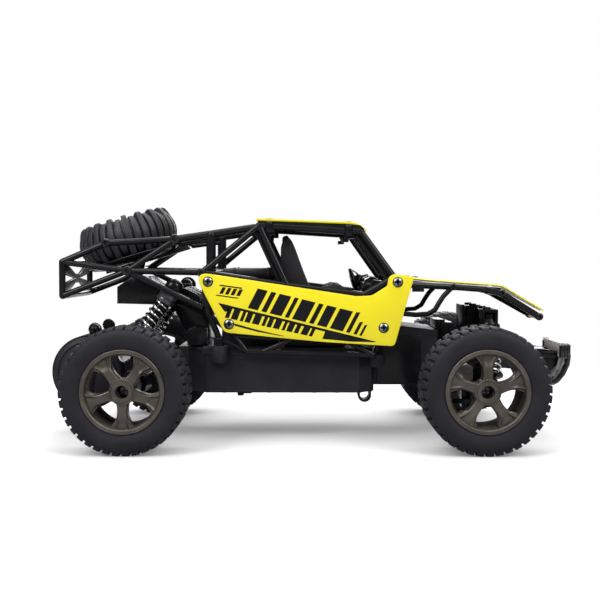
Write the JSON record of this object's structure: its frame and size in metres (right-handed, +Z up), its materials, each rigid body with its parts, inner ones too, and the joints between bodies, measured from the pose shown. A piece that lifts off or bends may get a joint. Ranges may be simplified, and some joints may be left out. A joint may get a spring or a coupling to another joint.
{
  "type": "radio-controlled desert buggy",
  "caption": "Radio-controlled desert buggy with a tube cage, thin body panels, front wishbones, a swinging rear axle and a spare wheel.",
  "frame": {"origin": "on the ground, at the middle of the overall length and width", "axes": "+X forward along the length, +Y to the buggy's left, +Z up"},
  "size_m": [0.26, 0.16, 0.1134],
  "materials": {
    "black_abs": "satin moulded plastic",
    "tub_abs": "fine matt moulded plastic",
    "yellow_panel": "smooth plastic with plain black slashes",
    "tyre_rubber": "matt rubber with block tread",
    "rim_bronze": "dark bronze, satin",
    "bumper_grey": "silver grey, satin",
    "bright_steel": "bright",
    "shaft_steel": "turned",
    "gear_nylon": "natural nylon",
    "brass": "turned",
    "cell_wrap": "shrink film",
    "board_green": "lacquered board"
  },
  "bodies": {
    "chassis": {"chassis_tub": "tub_abs", "chassis_cover": "tub_abs", "roll_cage": "black_abs", "rear_rack": "black_abs", "side_panel_right": "yellow_panel", "side_panel_left": "yellow_panel", "roof_panel": "yellow_panel", "hood_panel": "yellow_panel", "panel_screws": "bright_steel", "seats": "black_abs", "dashboard": "black_abs", "cab_steering_wheel": "black_abs", "engine_block": "black_abs", "spare_tyre": "tyre_rubber", "spare_rim": "rim_bronze", "battery_pack": "cell_wrap", "circuit_board": "board_green", "steering_servo": "black_abs", "front_shock_tower": "black_abs", "rear_deck": "black_abs", "front_bumper": "bumper_grey", "suspension_pins": "shaft_steel"},
    "battery_door": {"battery_door": "tub_abs"},
    "power_switch": {"power_switch": "gear_nylon"},
    "steering_crank": {"steering_crank": "gear_nylon"},
    "tie_rod": {"tie_rod": "black_abs"},
    "lower_arm_right": {"lower_arm_right": "black_abs"},
    "upper_arm_right": {"upper_arm_right": "black_abs"},
    "carrier_right": {"carrier_right": "black_abs"},
    "knuckle_right": {"knuckle_right": "black_abs"},
    "front_wheel_right": {"front_rim_right": "rim_bronze", "front_tyre_right": "tyre_rubber"},
    "front_shock_right": {"front_shock_body_right": "black_abs", "front_spring_right": "bright_steel"},
    "front_shock_rod_right": {"front_shock_rod_right": "shaft_steel"},
    "lower_arm_left": {"lower_arm_left": "black_abs"},
    "upper_arm_left": {"upper_arm_left": "black_abs"},
    "carrier_left": {"carrier_left": "black_abs"},
    "knuckle_left": {"knuckle_left": "black_abs"},
    "front_wheel_left": {"front_rim_left": "rim_bronze", "front_tyre_left": "tyre_rubber"},
    "front_shock_left": {"front_shock_body_left": "black_abs", "front_spring_left": "bright_steel"},
    "front_shock_rod_left": {"front_shock_rod_left": "shaft_steel"},
    "rear_housing": {"gearbox_case": "black_abs", "gearbox_cover": "black_abs", "drive_motor": "shaft_steel", "axle_bearings": "shaft_steel"},
    "rear_axle": {"rear_axle": "shaft_steel", "spur_gear": "gear_nylon", "rear_rim_right": "rim_bronze", "rear_tyre_right": "tyre_rubber", "rear_rim_left": "rim_bronze", "rear_tyre_left": "tyre_rubber", "rear_wheel_screws": "bright_steel"},
    "idler_gear": {"idler_gear": "gear_nylon"},
    "motor_pinion": {"motor_pinion": "brass"},
    "rear_shocks": {"rear_shock_bodies": "black_abs", "rear_springs": "bright_steel"},
    "rear_shock_rods": {"rear_shock_rods": "shaft_steel"}
  },
  "joints": [
    {"name": "battery_door_hinge", "type": "hinge", "parent": "chassis", "child": "battery_door", "pos_m": [-0.0361, 0, 0.0214], "axis": [0, 1, 0], "range_deg": [0, 90]},
    {"name": "power_switch_slide", "type": "slide", "parent": "chassis", "child": "power_switch", "axis": [1, 0, 0], "range_m": [0, 0.004]},
    {"name": "lower_arm_right_hinge", "type": "hinge", "parent": "chassis", "child": "lower_arm_right", "pos_m": [0.0779, -0.016, 0.025], "axis": [-1, 0, 0], "range_deg": [0, 12]},
    {"name": "upper_arm_right_hinge", "type": "hinge", "parent": "chassis", "child": "upper_arm_right", "pos_m": [0.0779, -0.016, 0.04], "axis": [-1, 0, 0], "range_deg": [0, 12]},
    {"name": "carrier_right_hinge", "type": "hinge", "parent": "lower_arm_right", "child": "carrier_right", "pos_m": [0.0779, -0.042, 0.021], "axis": [-1, 0, 0], "range_deg": [-12, 0]},
    {"name": "steering_right", "type": "hinge", "parent": "carrier_right", "child": "knuckle_right", "pos_m": [0.0779, -0.0505, 0.029], "axis": [0, 0, 1], "range_deg": [-25, 25]},
    {"name": "front_wheel_right_spin", "type": "hinge", "parent": "knuckle_right", "child": "front_wheel_right", "pos_m": [0.0779, -0.069, 0.029], "axis": [0, 1, 0], "continuous": true},
    {"name": "front_shock_right_hinge", "type": "hinge", "parent": "chassis", "child": "front_shock_right", "pos_m": [0.0874, -0.022, 0.06], "axis": [-1, 0, 0], "range_deg": [0, 2]},
    {"name": "front_shock_right_slide", "type": "slide", "parent": "front_shock_right", "child": "front_shock_rod_right", "axis": [0, 0.3905, 0.9206], "range_m": [0, 0.0043], "deforming": ["front_spring_right"]},
    {"name": "lower_arm_left_hinge", "type": "hinge", "parent": "chassis", "child": "lower_arm_left", "pos_m": [0.0779, 0.016, 0.025], "axis": [1, 0, 0], "range_deg": [0, 12]},
    {"name": "upper_arm_left_hinge", "type": "hinge", "parent": "chassis", "child": "upper_arm_left", "pos_m": [0.0779, 0.016, 0.04], "axis": [1, 0, 0], "range_deg": [0, 12]},
    {"name": "carrier_left_hinge", "type": "hinge", "parent": "lower_arm_left", "child": "carrier_left", "pos_m": [0.0779, 0.042, 0.021], "axis": [1, 0, 0], "range_deg": [-12, 0]},
    {"name": "steering_left", "type": "hinge", "parent": "carrier_left", "child": "knuckle_left", "pos_m": [0.0779, 0.0505, 0.029], "axis": [0, 0, 1], "range_deg": [-25, 25]},
    {"name": "front_wheel_left_spin", "type": "hinge", "parent": "knuckle_left", "child": "front_wheel_left", "pos_m": [0.0779, 0.069, 0.029], "axis": [0, 1, 0], "continuous": true},
    {"name": "front_shock_left_hinge", "type": "hinge", "parent": "chassis", "child": "front_shock_left", "pos_m": [0.0874, 0.022, 0.06], "axis": [1, 0, 0], "range_deg": [0, 2]},
    {"name": "front_shock_left_slide", "type": "slide", "parent": "front_shock_left", "child": "front_shock_rod_left", "axis": [0, -0.3905, 0.9206], "range_m": [0, 0.0043], "deforming": ["front_spring_left"]},
    {"name": "tie_rod_slide", "type": "slide", "parent": "chassis", "child": "tie_rod", "axis": [0, 1, 0], "range_m": [-0.0066, 0.0066]},
    {"name": "steering_crank_hinge", "type": "hinge", "parent": "chassis", "child": "steering_crank", "pos_m": [0.0489, 0, 0.034], "axis": [0, 0, 1], "range_deg": [-27, 27]},
    {"name": "rear_housing_hinge", "type": "hinge", "parent": "chassis", "child": "rear_housing", "pos_m": [-0.0656, 0, 0.026], "axis": [0, 1, 0], "range_deg": [0, 10]},
    {"name": "rear_axle_spin", "type": "hinge", "parent": "rear_housing", "child": "rear_axle", "pos_m": [-0.0851, 0, 0.029], "axis": [0, 1, 0], "continuous": true},
    {"name": "idler_gear_spin", "type": "hinge", "parent": "rear_housing", "child": "idler_gear", "pos_m": [-0.10011, 0.012, 0.03964], "axis": [0, 1, 0], "continuous": true},
    {"name": "motor_pinion_spin", "type": "hinge", "parent": "rear_housing", "child": "motor_pinion", "pos_m": [-0.1116, 0.012, 0.032], "axis": [0, 1, 0], "continuous": true},
    {"name": "rear_shocks_hinge", "type": "hinge", "parent": "chassis", "child": "rear_shocks", "pos_m": [-0.0676, 0, 0.0745], "axis": [0, 1, 0], "range_deg": [-1, 1]},
    {"name": "rear_shocks_slide", "type": "slide", "parent": "rear_shocks", "child": "rear_shock_rods", "axis": [0.5824, 0, 0.8129], "range_m": [0, 0.0054], "deforming": ["rear_springs"]}
  ],
  "couplings": [
    {"joint": "upper_arm_right_hinge", "follows": "lower_arm_right_hinge", "ratio": 1},
    {"joint": "carrier_right_hinge", "follows": "lower_arm_right_hinge", "ratio": -1},
    {"joint": "front_shock_right_hinge", "follows": "lower_arm_right_hinge", "ratio": 0.12365},
    {"joint": "front_shock_right_slide", "follows": "lower_arm_right_hinge", "m_per_rad": 0.019625},
    {"joint": "upper_arm_left_hinge", "follows": "lower_arm_left_hinge", "ratio": 1},
    {"joint": "carrier_left_hinge", "follows": "lower_arm_left_hinge", "ratio": -1},
    {"joint": "front_shock_left_hinge", "follows": "lower_arm_left_hinge", "ratio": 0.12365},
    {"joint": "front_shock_left_slide", "follows": "lower_arm_left_hinge", "m_per_rad": 0.019625},
    {"joint": "steering_right", "follows": "steering_left", "ratio": 1},
    {"joint": "tie_rod_slide", "follows": "steering_left", "m_per_rad": -0.0148},
    {"joint": "steering_crank_hinge", "follows": "steering_left", "ratio": -1.0571},
    {"joint": "idler_gear_spin", "follows": "rear_axle_spin", "ratio": -2.8333},
    {"joint": "motor_pinion_spin", "follows": "rear_axle_spin", "ratio": 10.2},
    {"joint": "rear_shocks_hinge", "follows": "rear_housing_hinge", "ratio": 0.009261},
    {"joint": "rear_shocks_slide", "follows": "rear_housing_hinge", "m_per_rad": 0.029976}
  ]
}
